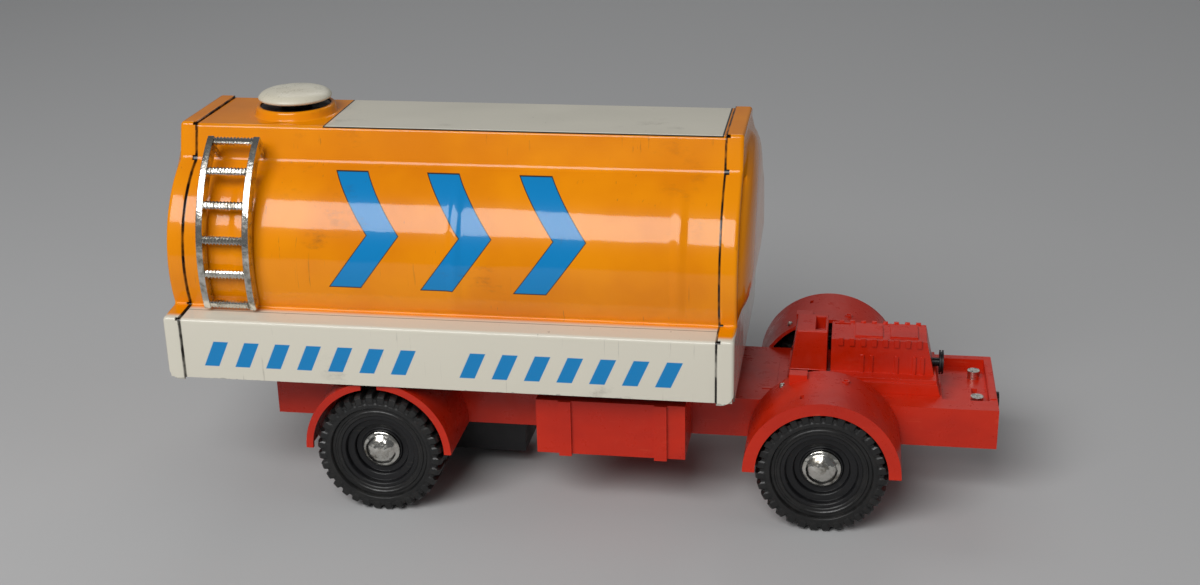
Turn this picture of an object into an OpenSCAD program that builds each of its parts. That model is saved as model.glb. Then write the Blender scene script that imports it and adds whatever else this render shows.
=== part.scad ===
// Toy road tanker truck without its cab: tin tank body on a moulded chassis
// with a friction motor. +X is the front, +Y the left side, +Z up, and the
// origin lies on the ground under the middle of the truck.

/* [Overall] */
// Distance between the front and rear axles
wheelbase = 149.7; // [149:0.1:151]
// Position of the rear axle along the truck
rear_axle_x = -66.2; // [-67:0.1:-66]
// Height of the axles above the ground
axle_z = 21.9; // [21.9:0.1:22.2]

/* [Tank] */
// Rear outer face of the tank's rear flange
tank_rear_x = -138.6; // [-139:0.1:-138]
// Front outer face of the tank's front flange
tank_front_x = 54.7; // [54:0.1:55]
// Length of the flange that each end cap folds over the shell
cap_flange = 5.75; // [4:0.25:7]
// Thickness of the tin sheet
tin = 0.6; // [0.5:0.1:0.8]
// Half width of the flat roof
roof_half_w = 18.5; // [17:0.5:20]
// Height of the roof
roof_z = 127.6; // [126:0.2:129]
// Half width at the foot of the shoulder
shoulder_half_w = 22; // [21:0.5:24]
// Height of the foot of the shoulder
shoulder_z = 115.9; // [115:0.1:117]
// Half width where the bulged side meets the ledge
valley_half_w = 39.6; // [38:0.5:41]
// Height where the bulged side meets the ledge
valley_z = 69.3; // [68:0.1:70]
// How far the side bulges out of a straight line
bulge = 9.5; // [8:0.5:10]
// Half width of the skirt
skirt_half_w = 50.9; // [50:0.1:51.2]
// Height of the ledge's outer edge
ledge_z = 68.3; // [67.5:0.1:68.6]
// Height of the skirt's lower edge
skirt_z = 47; // [46.8:0.2:48]
// Depth of the domed panel in each end cap
dome_h = 4.5; // [3:0.5:6]

/* [Filler and ladder] */
// Position of the filler along the truck
filler_x = -103.5; // [-105:0.5:-100]
// Diameter of the filler cap
filler_cap_d = 25.5; // [24:0.5:26]
// Rear edge of the ladder
ladder_x = -126; // [-127:0.5:-125]
// Width of the ladder
ladder_w = 18.5; // [17:0.5:20]
// Number of rungs
rung_count = 6; // [5:1:7]

/* [Chassis] */
// Half width of the frame over its rails
frame_half_w = 23; // [22:0.5:23.5]
// Rear end of the frame
frame_rear_x = -111.5; // [-114:0.5:-108]
// Front end of the frame
frame_front_x = 141.4; // [141:0.1:142]
// Height of the rails' lower edge
rail_z = 21.9; // [21:0.1:22]
// Height of the deck and of the front tray's rim
deck_z = 36.1; // [35:0.1:37]
// Wall thickness of the moulded frame
wall = 2; // [1.6:0.1:2.4]

/* [Wheels] */
// Radius of the tyres over the tread
tyre_r = 21.9; // [21.7:0.1:21.9]
// Width of a tyre
tyre_w = 16.5; // [15:0.5:17]
// Number of tread lugs round a tyre
lug_count = 32; // [24:2:36]
// Distance of the rear tyres' outer faces from the middle
rear_face_y = 51.5; // [50.5:0.1:51.8]
// Distance of the front tyres' outer faces from the middle
front_face_y = 48.2; // [47:0.1:48.2]
// Radius of the axles
axle_r = 2; // [1.8:0.1:2.2]

/* [Friction motor] */
// Module of the gear teeth
gear_module = 0.7; // [0.65:0.01:0.7]
// Teeth of the large gears
gear_teeth = 30; // [28:1:30]
// Teeth of the pinions
pinion_teeth = 10; // [10:1:11]
// Radius of the flywheel
flywheel_r = 10.8; // [9:0.1:10.8]

/* [Hidden] */
$fn = 48;
eps = 0.01;
fit = 0.05;
gap = 0.3;
front_axle_x = rear_axle_x + wheelbase;

// The bulged side is one arc through the shoulder foot and the valley
chord = [valley_half_w - shoulder_half_w, valley_z - shoulder_z];
bulge_r = (chord * chord / 4 + bulge * bulge) / (2 * bulge);
bulge_out = [-chord[1], chord[0]] / norm(chord);
bulge_c = ([shoulder_half_w, shoulder_z] + [valley_half_w, valley_z]) / 2
    - (bulge_r - bulge) * bulge_out;
bulge_top_a = atan2(shoulder_z - bulge_c[1], shoulder_half_w - bulge_c[0]);
bulge_steps = 16;
floor_z = 50;
shell_rear_x = tank_rear_x + tin;
shell_front_x = tank_front_x - tin;

// The bulge grown outwards by t, from the shoulder down to height z
function bulge_arc(t, z) = let (low_a = asin((z - bulge_c[1]) / (bulge_r + t)))
    [for (i = [0:bulge_steps]) let (a = bulge_top_a + (low_a - bulge_top_a) * i / bulge_steps)
    bulge_c + (bulge_r + t) * [cos(a), sin(a)]];
// Half of the tank's outline, grown outwards by t, down to height z_low
function half_outline(t, z_low) = concat([[roof_half_w + t / 2, roof_z + t]], bulge_arc(t, valley_z + t),
    [[skirt_half_w + t, ledge_z + t], [skirt_half_w + t, z_low]]);
function mirrored(points) = [for (i = [len(points) - 1:-1:0]) [-points[i][0], points[i][1]]];

// Turns a drawing in (y, z) into a solid that runs from x to x + length
module along_x(x, length) {
    translate([x, 0, 0]) rotate([90, 0, 90]) linear_extrude(length) children();
}

// Turns a drawing in (x, z) into a solid between two distances from the middle
module along_y(y_from, y_to) {
    translate([0, y_to, 0]) rotate([90, 0, 0]) linear_extrude(y_to - y_from) children();
}

module outline(t, z_low) {
    half = half_outline(t, z_low);
    polygon(concat(half, mirrored(half)));
}

module left_copy() {
    mirror([0, 1, 0]) children();
}

filler_neck_r = 5.6;
filler_stem_r = 3.6;
filler_neck_top = 132.3;
filler_rim_h = 2.2;
filler_dome_h = 1.4;
boss_h = 3.1;
boss_low_r = 14.4;
boss_top_r = 13.6;
boss_hole_r = 12.2;
bead_x = [-114, -39, 35.4];
bead_w = 2.4;
bead_h = 0.5;

module tank_shell() {
    color("darkorange") {
        difference() {
            along_x(shell_rear_x, shell_front_x - shell_rear_x) outline(0, skirt_z);
            along_x(shell_rear_x - 1, shell_front_x - shell_rear_x + 2) outline(-tin, skirt_z - 1);
            translate([filler_x, 0, roof_z - 5]) cylinder(r = boss_low_r - tin, h = 10);
        }
        filler_boss();
        for (x = bead_x) side_beads(x);
    }
}

// The round boss pressed up out of the roof, with a wide hole in its top
module filler_boss() {
    translate([filler_x, 0, roof_z - tin]) difference() {
        cylinder(r1 = boss_low_r, r2 = boss_top_r, h = boss_h + tin);
        translate([0, 0, -eps]) cylinder(r1 = boss_low_r - tin, r2 = boss_top_r - tin, h = boss_h);
        cylinder(r = boss_hole_r, h = boss_h + 2);
    }
}

// A bead pressed out of both sides
module side_beads(x) {
    bead = [for (i = [1:bulge_steps - 1]) bulge_arc(0, valley_z)[i]];
    raised = [for (i = [bulge_steps - 1:-1:1]) bulge_arc(bead_h, valley_z)[i]];
    for (s = [0, 1]) mirror([0, s, 0]) along_x(x - bead_w / 2, bead_w) polygon(concat(bead, raised));
}

notch_w = 4;
notch_l = 1.3;
cap_corner_r = 4.5;
cap_inset = 2.5;

// An end cap whose flange reaches towards +X from its face at x = 0
module end_cap() {
    difference() {
        along_x(0, cap_flange) outline(tin, skirt_z - tin);
        along_x(tin, cap_flange) outline(0, skirt_z - 2);
        for (s = [-1, 1]) {
            notch(s * roof_half_w, roof_z);
            notch(s * shoulder_half_w, shoulder_z);
            notch(s * (valley_half_w + 0.4), valley_z);
            cap_corner(s * skirt_half_w);
        }
    }
    dome_panel();
}

module notch(y, z) {
    translate([cap_flange - notch_l, y - notch_w / 2, z - notch_w / 2]) cube([notch_l + 1, notch_w, notch_w]);
}

// Rounds the lower rear corner of the cap, as seen from the side
module cap_corner(y) {
    translate([0, y - 3, skirt_z - tin]) difference() {
        translate([-1, 0, -1]) cube([cap_corner_r + 1 - 0.4, 6, cap_corner_r + 1]);
        translate([cap_corner_r, -1, cap_corner_r]) rotate([-90, 0, 0]) cylinder(r = cap_corner_r, h = 8);
    }
}

// The shallow dome pressed out of the cap's face: the panel's outline in rings that
// shrink as they rise
dome_rings = 7;
dome_top = 0.5;

function panel_outline() = let (half = concat([[roof_half_w - cap_inset, roof_z - cap_inset]],
    bulge_arc(-cap_inset, ledge_z + cap_inset)))
    concat(half, mirrored(half));

module dome_panel() {
    outline = panel_outline();
    n = len(outline);
    centre = [0, (roof_z + ledge_z) / 2];
    points = [for (k = [0:dome_rings], p = outline)
        let (a = 90 * max(k - 1, 0) / (dome_rings - 1), q = centre + (p - centre) * (dome_top + (1 - dome_top) * cos(a)))
        [k == 0 ? tin / 2 : -dome_h * sin(a), q[0], q[1]]];
    sides = [for (k = [0:dome_rings - 1], j = [0:n - 1]) let (m = (j + 1) % n)
        [k * n + j, k * n + n + j, k * n + n + m, k * n + m]];
    // the base is a fan of triangles round one more point in its middle
    base = [for (j = [0:n - 1]) [j, (j + 1) % n, len(points)]];
    polyhedron(concat(points, [[tin / 2, centre[0], centre[1]]]),
        concat(base, sides, [[for (j = [n - 1:-1:0]) dome_rings * n + j]]));
}

module tank_rear_cap() {
    color("orange") translate([tank_rear_x, 0, 0]) end_cap();
}

module tank_front_cap() {
    color("orange") translate([tank_front_x, 0, 0]) mirror([1, 0, 0]) end_cap();
}

screw_x = [-96, 40];
screw_r = 1.5;

module tank_floor() {
    color("lightgray") difference() {
        translate([shell_rear_x + tin, -(skirt_half_w - tin), floor_z])
            cube([shell_front_x - shell_rear_x - 2 * tin, 2 * (skirt_half_w - tin), tin]);
        for (x = screw_x) translate([x, 0, floor_z - 1]) cylinder(r = screw_r, h = 3);
    }
}

module tank_screws() {
    color("silver") for (x = screw_x) translate([x, 0, 0]) {
        translate([0, 0, deck_z - wall - 2]) cylinder(r = 2.9, h = 2);
        translate([0, 0, deck_z - wall - eps]) cylinder(r = screw_r, h = floor_z + 3 - deck_z + wall);
    }
}

module filler_neck() {
    color("dimgray") translate([filler_x, 0, 0]) difference() {
        union() {
            translate([0, 0, roof_z - 4.2]) cylinder(r = filler_neck_r, h = filler_neck_top - roof_z + 4.2);
            translate([0, 0, roof_z + 0.7]) cylinder(r = boss_top_r - tin - 0.2, h = boss_h - tin - 0.7);
        }
        translate([0, 0, roof_z - 6]) cylinder(r = filler_stem_r + fit, h = 14);
    }
}

module filler_cap() {
    rim_r = filler_cap_d / 2;
    rim_z = filler_neck_top + gap;
    dome_r = (rim_r * rim_r + filler_dome_h * filler_dome_h) / (2 * filler_dome_h);
    color("ivory") translate([filler_x, 0, 0]) {
        translate([0, 0, roof_z - 7]) cylinder(r = filler_stem_r, h = rim_z - roof_z + 7 + 1);
        translate([0, 0, rim_z]) difference() {
            cylinder(r = rim_r, h = filler_rim_h);
            translate([0, 0, -1]) cylinder(r = rim_r - 1.5, h = 2);
        }
        translate([0, 0, rim_z + filler_rim_h - eps]) intersection() {
            translate([0, 0, filler_dome_h - dome_r]) sphere(r = dome_r, $fn = 180);
            cylinder(r = rim_r, h = filler_dome_h + 1);
        }
        translate([0, 0, rim_z]) cylinder(r = filler_stem_r + 1.5, h = 2);
    }
}

// The ladder's rails are arcs that stand just off the bulged side
ladder_c = [-3.6, 84.8];
ladder_in_r = 46.4;
ladder_depth = 4.2;
ladder_rail_w = 2.4;
ladder_low_a = -17;
ladder_high_a = 54;
rung_w = 2.8;
rung_t = 1.8;

module ladder_band(r_in, r_out, a_low, a_high) {
    reach = 2 * r_out;
    translate(ladder_c) intersection() {
        difference() {
            circle(r = r_out, $fn = 120);
            circle(r = r_in, $fn = 120);
        }
        polygon([[0, 0], reach * [cos(a_low), sin(a_low)],
            reach * [cos((a_low + a_high) / 2), sin((a_low + a_high) / 2)],
            reach * [cos(a_high), sin(a_high)]]);
    }
}

module ladder() {
    out_r = ladder_in_r + ladder_depth;
    half_a = asin(rung_w / 2 / out_r);
    step = (ladder_high_a - ladder_low_a - 2 * half_a) / (rung_count - 1);
    color("silver") left_copy() {
        for (x = [ladder_x, ladder_x + ladder_w - ladder_rail_w])
            along_x(x, ladder_rail_w) ladder_band(ladder_in_r, out_r, ladder_low_a, ladder_high_a);
        for (i = [0:rung_count - 1]) {
            a = ladder_low_a + half_a + i * step;
            along_x(ladder_x + eps, ladder_w - 2 * eps)
                ladder_band(out_r - rung_t, out_r - 0.2, a - half_a, a + half_a);
        }
        for (x = [ladder_x, ladder_x + ladder_w - ladder_rail_w]) {
            ladder_peg(x + ladder_rail_w / 2, ladder_low_a + 4, 1.9);
            ladder_peg(x + ladder_rail_w / 2, ladder_high_a - 2, 4.4);
        }
    }
}

// A short peg that holds a rail to the tank's side
module ladder_peg(x, a, reach) {
    translate([x, ladder_c[0], ladder_c[1]]) rotate([a, 0, 0]) translate([0, ladder_in_r - reach, 0])
        rotate([-90, 0, 0]) cylinder(r = 0.9, h = reach + 0.5);
}

// Chassis
motor_bay = [-82, -19];
tray_x = 123;
tray_floor_z = 32.8;
tray_y = [-15.5, 20];
front_wall = 2.6;
pad_h = 0.3;
pad_half_w = 14;
front_pad_x = [139.1, 141.1];
rear_pad_x = [61.5, 66.5];
lug_r = 6;
slot_x = 133.6;

module chassis_frame() {
    length = frame_front_x - frame_rear_x;
    color("orangered") difference() {
        union() {
            difference() {
                translate([frame_rear_x, -frame_half_w, rail_z]) cube([length, 2 * frame_half_w, deck_z - rail_z]);
                translate([frame_rear_x + wall, -frame_half_w + wall, rail_z - 1])
                    cube([length - 2 * wall, 2 * (frame_half_w - wall), deck_z - rail_z - wall + 1]);
            }
            translate([tray_x - wall, -frame_half_w + eps, tray_floor_z - wall])
                cube([frame_front_x - tray_x + wall - eps, 2 * (frame_half_w - eps), deck_z - tray_floor_z + wall - eps]);
            for (x = motor_bay) translate([x - wall / 2, -frame_half_w + eps, rail_z])
                cube([wall, 2 * (frame_half_w - eps), deck_z - rail_z - eps]);
            for (x = [rear_axle_x, front_axle_x]) axle_lugs(x);
            cab_pad(front_pad_x);
            cab_pad(rear_pad_x);
        }
        translate([tray_x, tray_y[0], tray_floor_z])
            cube([frame_front_x - front_wall - tray_x, tray_y[1] - tray_y[0], 10]);
        translate([slot_x, -2.6, tray_floor_z - wall - 1]) cube([2, 4.4, 6]);
        for (x = [rear_axle_x, front_axle_x]) translate([x, 30, axle_z]) rotate([90, 0, 0])
            cylinder(r = axle_r + fit, h = 60);
        for (x = screw_x) translate([x, 0, rail_z]) cylinder(r = screw_r, h = 20);
        translate([stud_x, 0, 0]) for (y = stud_y) translate([0, y, tray_floor_z - wall - 1])
            cylinder(r = stud_neck_r, h = 5);
        translate([frame_front_x + 1, 0, front_screw_z]) rotate([0, -90, 0])
            cylinder(r = screw_r, h = front_wall + 2);
    }
}

// A low pad on the deck that the cab rests on
module cab_pad(x) {
    translate([x[0], -pad_half_w, deck_z - eps]) cube([x[1] - x[0], 2 * pad_half_w, pad_h + eps]);
}

module axle_lugs(x) {
    for (s = [-1, 1]) translate([x, s * (frame_half_w - 1.5), 0]) rotate([90, 0, 0]) {
        translate([0, axle_z, -1.5 + eps]) cylinder(r = lug_r, h = 3 - 2 * eps);
        translate([-lug_r, axle_z, -1.5 + eps]) cube([2 * lug_r, deck_z - axle_z - 1, 3 - 2 * eps]);
    }
}

// Cross walls and screw bosses that carry the tank above the deck
module saddle_posts() {
    color("orangered") for (x = [screw_x[0], -20, screw_x[1]]) difference() {
        union() {
            translate([x - 1.25, -21, deck_z]) cube([2.5, 42, floor_z - deck_z]);
            translate([x, 0, deck_z]) cylinder(r = 4, h = floor_z - deck_z);
        }
        translate([x, 0, deck_z - 1]) cylinder(r = screw_r, h = floor_z - deck_z + 2);
    }
}

// Fenders: a curved sheet from the rail outwards with a lip that hangs down
fender_out_y = 49.7;
lip_w = 1.2;
sheet_t = 1.2;
front_fender_r = 26;
front_lip_r = 21.9;
rear_fender_x = rear_axle_x - 0.6;
rear_fender_r = 25.6;
rear_lip_r = 23.1;
rear_slot = [-71.4, -65.8];

module half_ring(x, r_out, r_in) {
    translate([x, axle_z]) intersection() {
        difference() {
            circle(r = r_out, $fn = 96);
            circle(r = r_in, $fn = 96);
        }
        translate([-r_out, 0]) square([2 * r_out, r_out]);
    }
}

module fender(x, r, lip_r) {
    along_y(-fender_out_y + lip_w - eps, -frame_half_w) half_ring(x, r, r - sheet_t);
    along_y(-fender_out_y, -fender_out_y + lip_w) half_ring(x, r, lip_r);
}

module rear_fender() {
    difference() {
        fender(rear_fender_x, rear_fender_r, rear_lip_r);
        translate([rear_slot[0], -fender_out_y - 1, axle_z + 10]) cube([rear_slot[1] - rear_slot[0], 20, 20]);
    }
}

bracket_x = 71.5;
rivet_x = 69.2;
rivet_y = 27.5;
slot_mark = [75.8, -44, 1.2, 2.6];
ring_mark = [90.3, -29.5];

module front_fender() {
    difference() {
        fender(front_axle_x, front_fender_r, front_lip_r);
        translate([slot_mark[0], slot_mark[1], axle_z + 15]) cube([slot_mark[2], slot_mark[3], 15]);
    }
    top_z = axle_z + front_fender_r;
    translate([bracket_x, -29.5, top_z - 6]) difference() {
        cube([6, 4.4, 6.8]);
        translate([0, 0, -eps]) translate([front_axle_x - bracket_x, -1, axle_z - top_z + 6])
            rotate([-90, 0, 0]) cylinder(r = front_fender_r - sheet_t / 2, h = 8, $fn = 96);
    }
    translate([ring_mark[0], ring_mark[1], top_z - 2.2]) difference() {
        cylinder(r = 1.3, h = 1.9);
        translate([0, 0, 1.4]) cylinder(r = 0.8, h = 2);
    }
}

module rear_fender_right() {
    color("orangered") rear_fender();
}

module rear_fender_left() {
    color("orangered") left_copy() rear_fender();
}

module front_fender_right() {
    color("orangered") front_fender();
}

module front_fender_left() {
    color("orangered") left_copy() front_fender();
}

module bracket_rivets() {
    drop = sqrt(pow(front_fender_r, 2) - pow(front_axle_x - rivet_x, 2));
    color("silver") for (s = [-1, 1]) translate([rivet_x, s * rivet_y, axle_z + drop - 1]) {
        cylinder(r = 1, h = 1.5);
        translate([0, 0, 1.5]) cylinder(r1 = 1, r2 = 0.6, h = 0.4);
    }
}

box_x = [-12.5, 38];
box_z = [22, 41.6];
box_out_y = 43.5;
box_rib_x = [-4.8, 27.6];
box_rib_w = 4.3;

module toolbox() {
    translate([box_x[0], -box_out_y, box_z[0]])
        cube([box_x[1] - box_x[0], box_out_y - frame_half_w, box_z[1] - box_z[0]]);
    for (x = box_rib_x) translate([x, -box_out_y - 1, box_z[0] - 0.5])
        cube([box_rib_w, 1 + eps, box_z[1] - box_z[0] + 0.5]);
}

module toolbox_right() {
    color("orangered") toolbox();
}

module toolbox_left() {
    color("orangered") left_copy() toolbox();
}

// Engine
engine_x = [84.8, 117.3];
engine_half_w = 8;
engine_z = [41.5, 53.5];
engine_flange = [40.3, 12.5];
engine_low_half_w = 13.5;
engine_rib_x = [95.5, 98.6, 107.2, 113.2, 116];
engine_top_ribs = 8;
fan_x = 122;
fan_z = 43.1;
fan_hub_r = 1.5;

module engine_block() {
    color("orangered") {
        difference() {
            along_y(-engine_half_w, engine_half_w) polygon([[engine_x[0], engine_z[0] - 1],
                [engine_x[0], engine_z[1]], [engine_x[1], engine_z[1]], [engine_x[1] + 3, engine_z[0] - 1]]);
            translate([engine_x[0] + 1, engine_half_w - 2.4, engine_z[1] - 2]) cube([5.5, 1.4, 4]);
            translate([engine_x[1] - 1, 0, fan_z]) rotate([0, 90, 0]) cylinder(r = fan_hub_r, h = 5);
        }
        translate([engine_x[0], -engine_flange[1], engine_flange[0]])
            cube([engine_x[1] + 3.6 - engine_x[0], 2 * engine_flange[1], engine_z[0] - engine_flange[0]]);
        along_y(-engine_low_half_w, engine_low_half_w) polygon([[engine_x[0], deck_z],
            [engine_x[0], engine_flange[0] + eps], [engine_x[1] + 3.8, engine_flange[0] + eps],
            [engine_x[1] + 5, deck_z]]);
        for (x = engine_rib_x, s = [-1, 1])
            translate([x - 0.6, s * (engine_half_w + 0.25) - 0.35, engine_z[0] - eps]) cube([1.2, 0.7, 6.5]);
        for (i = [0:engine_top_ribs - 1], s = [-1, 1])
            translate([engine_x[0] + 2.4 + i * 3.8, s * (engine_half_w + 0.1) - 0.5, engine_z[1] - 2.2])
                cube([1.7, 1, 2.8]);
        translate([engine_x[0] + 8, -5.5, engine_z[1] - eps]) cube([9.5, 11, 0.7]);
        translate([engine_x[0] + 20, -5.5, engine_z[1] - eps]) cube([9.5, 11, 0.7]);
    }
}

housing_x = [72.8, 83.5];
housing_z = 56;

module gearbox_housing() {
    color("orangered") difference() {
        union() {
            along_y(-engine_half_w, engine_half_w) polygon([[housing_x[0] - 2.2, engine_flange[0]],
                [housing_x[0], housing_z], [housing_x[1], housing_z], [housing_x[1], engine_flange[0]]]);
            along_y(-engine_low_half_w, engine_low_half_w) polygon([[housing_x[0] - 3, deck_z],
                [housing_x[0] - 2.2, engine_z[0]], [housing_x[1], engine_z[0]], [housing_x[1], deck_z]]);
        }
        translate([housing_x[1] - 4.2, -6, housing_z - 5]) cube([3.2, 12, 6]);
    }
}

module fan_pulley() {
    color("dimgray") translate([fan_x, 0, fan_z]) rotate([0, 90, 0]) {
        translate([0, 0, -4.4]) cylinder(r = fan_hub_r, h = 4.5);
        cylinder(r = 4.2, h = 0.5);
        translate([0, 0, 0.5 - eps]) cylinder(r = 3.5, h = 0.5);
        translate([0, 0, 0.9]) cylinder(r = 4.2, h = 0.5);
    }
}

stud_x = 134.8;
stud_y = [-11, 11];
stud_r = 2.15;
stud_neck_r = 1.3;
front_screw_z = 29.6;

module cab_studs() {
    color("gainsboro") for (y = stud_y) translate([stud_x, y, tray_floor_z]) {
        translate([0, 0, -wall - 0.8]) cylinder(r = stud_neck_r, h = wall + 1);
        cylinder(r = stud_r, h = 3);
    }
}

module front_screw() {
    color("gray") translate([frame_front_x, 0, front_screw_z]) rotate([0, 90, 0]) {
        cylinder(r = 3, h = 1.7);
        translate([0, 0, -front_wall]) cylinder(r = screw_r, h = front_wall + eps);
    }
}

// Wheels
rim_r = 13.5;
rim_recess = 5;
cap_r = 6.35;

module front_axle() {
    color("silver") translate([front_axle_x, 0, axle_z]) rotate([90, 0, 0])
        cylinder(r = axle_r, h = 2 * (front_face_y - 4.2), center = true);
}

module rear_axle() {
    color("silver") translate([rear_axle_x, 0, axle_z]) rotate([90, 0, 0])
        cylinder(r = axle_r, h = 2 * (rear_face_y - 4.2), center = true);
}

// A tyre drawn lying down: its outer face is at z = 0, its body below
module tyre() {
    pitch = 360 / lug_count;
    low_r = tyre_r - 1.3;
    points = [for (i = [0:lug_count - 1], k = [0:3])
        let (a = (i + [-0.3, -0.22, 0.22, 0.3][k]) * pitch, r = (k == 0 || k == 3) ? low_r : tyre_r)
        r * [cos(a), sin(a)]];
    difference() {
        translate([0, 0, -tyre_w]) linear_extrude(tyre_w) polygon(points);
        translate([0, 0, -tyre_w - 1]) cylinder(r = rim_r + fit, h = tyre_w + 2, $fn = 96);
        translate([0, 0, -1.2]) cylinder(r = 16.6, h = 3, $fn = 96);
        translate([0, 0, -tyre_w - 1]) cylinder(r = 16.6, h = 2.2, $fn = 96);
    }
}

// The hard core of a wheel: a stepped dish with a hub pressed on the axle
module wheel_core() {
    rotate_extrude($fn = 96) polygon([[axle_r, -tyre_w + 2], [rim_r, -tyre_w + 2], [rim_r, -1.6],
        [rim_r - 1.4, -1.6], [rim_r - 1.8, -3.4], [rim_r - 4, -3.6], [rim_r - 4.4, -rim_recess],
        [cap_r + 0.9, -rim_recess - 0.4], [cap_r + 0.6, -rim_recess + 0.6], [cap_r, -rim_recess + 0.6],
        [cap_r, -rim_recess - 1], [axle_r, -rim_recess - 1]]);
}

// The bright cap in the middle of a wheel
module hub_cap() {
    rise = 2.6;
    dome_r = (cap_r * cap_r + rise * rise) / (2 * rise);
    translate([0, 0, -rim_recess - 1]) difference() {
        union() {
            cylinder(r = cap_r, h = 2.4);
            translate([0, 0, 2.4 - eps]) intersection() {
                translate([0, 0, rise - dome_r]) sphere(r = dome_r, $fn = 180);
                cylinder(r = cap_r, h = rise + 1);
            }
        }
        translate([0, 0, -1]) cylinder(r = axle_r, h = 1 + rim_recess - 3.2);
    }
}

module at_right_wheel(x, face_y) {
    translate([x, -face_y, axle_z]) rotate([90, 0, 0]) children();
}

module at_left_wheel(x, face_y) {
    translate([x, face_y, axle_z]) rotate([-90, 0, 0]) children();
}

module tyre_front_right() {
    color("black") at_right_wheel(front_axle_x, front_face_y) tyre();
}

module tyre_front_left() {
    color("black") at_left_wheel(front_axle_x, front_face_y) tyre();
}

module tyre_rear_right() {
    color("black") at_right_wheel(rear_axle_x, rear_face_y) tyre();
}

module tyre_rear_left() {
    color("black") at_left_wheel(rear_axle_x, rear_face_y) tyre();
}

module wheel_front_right() {
    color("black") at_right_wheel(front_axle_x, front_face_y) wheel_core();
}

module wheel_front_left() {
    color("black") at_left_wheel(front_axle_x, front_face_y) wheel_core();
}

module wheel_rear_right() {
    color("black") at_right_wheel(rear_axle_x, rear_face_y) wheel_core();
}

module wheel_rear_left() {
    color("black") at_left_wheel(rear_axle_x, rear_face_y) wheel_core();
}

module hub_cap_front_right() {
    color("silver") at_right_wheel(front_axle_x, front_face_y) hub_cap();
}

module hub_cap_front_left() {
    color("silver") at_left_wheel(front_axle_x, front_face_y) hub_cap();
}

module hub_cap_rear_right() {
    color("silver") at_right_wheel(rear_axle_x, rear_face_y) hub_cap();
}

module hub_cap_rear_left() {
    color("silver") at_left_wheel(rear_axle_x, rear_face_y) hub_cap();
}

// Friction motor: the rear axle's gear drives the idler, and the idler the flywheel
mesh_slack = 0.1;
centre_d = gear_module * (gear_teeth + pinion_teeth) / 2 + mesh_slack;
idler_dir = -8;
flywheel_dir = 12;
idler_at = [rear_axle_x, axle_z] + centre_d * [cos(idler_dir), sin(idler_dir)];
flywheel_at = idler_at + centre_d * [cos(flywheel_dir), sin(flywheel_dir)];
drive_y = [4, 8];
second_y = [-4, 0];
flywheel_y = [-11, -6];
plate_y = [12, 13];
pin_r = 1;
spacer_at = [[-78, 30], [-63, 8.5], [-26.5, 31]];

// Height of the tooth flank's involute at radius r, as an angle
function involute(r, base_r) = r <= base_r ? 0
    : let (t = sqrt(pow(r / base_r, 2) - 1)) t * 180 / PI - atan(t);
// Half of a tooth's angle at radius r
function tooth_half(r, n) = let (pitch_r = gear_module * n / 2, base_r = pitch_r * cos(20))
    90 / n + involute(pitch_r, base_r) - involute(r, base_r) - 0.1 * 180 / PI / gear_module / n;

module gear_face(n, turn) {
    pitch_r = gear_module * n / 2;
    root_r = pitch_r - 1.3 * gear_module;
    tip_r = pitch_r + 0.8 * gear_module;
    radii = [for (k = [0:4]) root_r + (tip_r - root_r) * k / 4];
    points = [for (i = [0:n - 1], s = [-1, 1], k = s < 0 ? [0:4] : [4:-1:0])
        let (a = turn + i * 360 / n + s * tooth_half(radii[k], n))
        radii[k] * [cos(a), sin(a)]];
    polygon(points);
}

module gear(at, y, n, turn, bore_r) {
    difference() {
        along_y(y[0], y[1]) translate(at) gear_face(n, turn);
        pin(at, [y[0] - 1, y[1] + 1], bore_r);
    }
}

module pin(at, y, r) {
    along_y(y[0], y[1]) translate(at) circle(r = r);
}

module axle_gear() {
    color("white") gear([rear_axle_x, axle_z], drive_y, gear_teeth, idler_dir, axle_r);
}

module idler_gear() {
    color("white") {
        gear(idler_at, drive_y, pinion_teeth, idler_dir + 180 + 180 / pinion_teeth, pin_r);
        gear(idler_at, second_y, gear_teeth, flywheel_dir, pin_r);
        difference() {
            pin(idler_at, [second_y[1] - eps, drive_y[0] + eps], 2.5);
            pin(idler_at, [second_y[1] - 1, drive_y[0] + 1], pin_r);
        }
    }
}

module idler_shaft() {
    color("silver") pin(idler_at, [-plate_y[1] - 0.4, plate_y[1] + 0.4], pin_r);
}

module flywheel_shaft() {
    color("silver") {
        pin(flywheel_at, [-plate_y[1] - 0.4, plate_y[1] + 0.4], pin_r);
        along_y(second_y[0], second_y[1]) translate(flywheel_at)
            gear_face(pinion_teeth, flywheel_dir + 180 + 180 / pinion_teeth);
    }
}

module flywheel() {
    color("gray") difference() {
        union() {
            pin(flywheel_at, flywheel_y, flywheel_r);
            pin(flywheel_at, [flywheel_y[0] - 0.5, flywheel_y[1] + 0.5], 3);
        }
        pin(flywheel_at, [flywheel_y[0] - 1, flywheel_y[1] + 1], pin_r);
    }
}

module motor_plate() {
    difference() {
        along_y(plate_y[0], plate_y[1]) polygon([[-80.8, 18], [-80.8, deck_z - wall], [-24, deck_z - wall],
            [-24, 13], [-34, 9.4], [-60.3, 8.7], [-61, 5.6], [-66, 5.6], [-76, 14]]);
        pin([rear_axle_x, axle_z], [plate_y[0] - 1, plate_y[1] + 1], axle_r + fit);
        for (at = [idler_at, flywheel_at]) pin(at, [plate_y[0] - 1, plate_y[1] + 1], pin_r + fit);
        for (at = spacer_at) pin(at, [plate_y[0] - 1, plate_y[1] + 1], pin_r);
    }
}

module motor_plate_left() {
    color("lightgray") motor_plate();
}

module motor_plate_right() {
    color("lightgray") left_copy() motor_plate();
}

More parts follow.
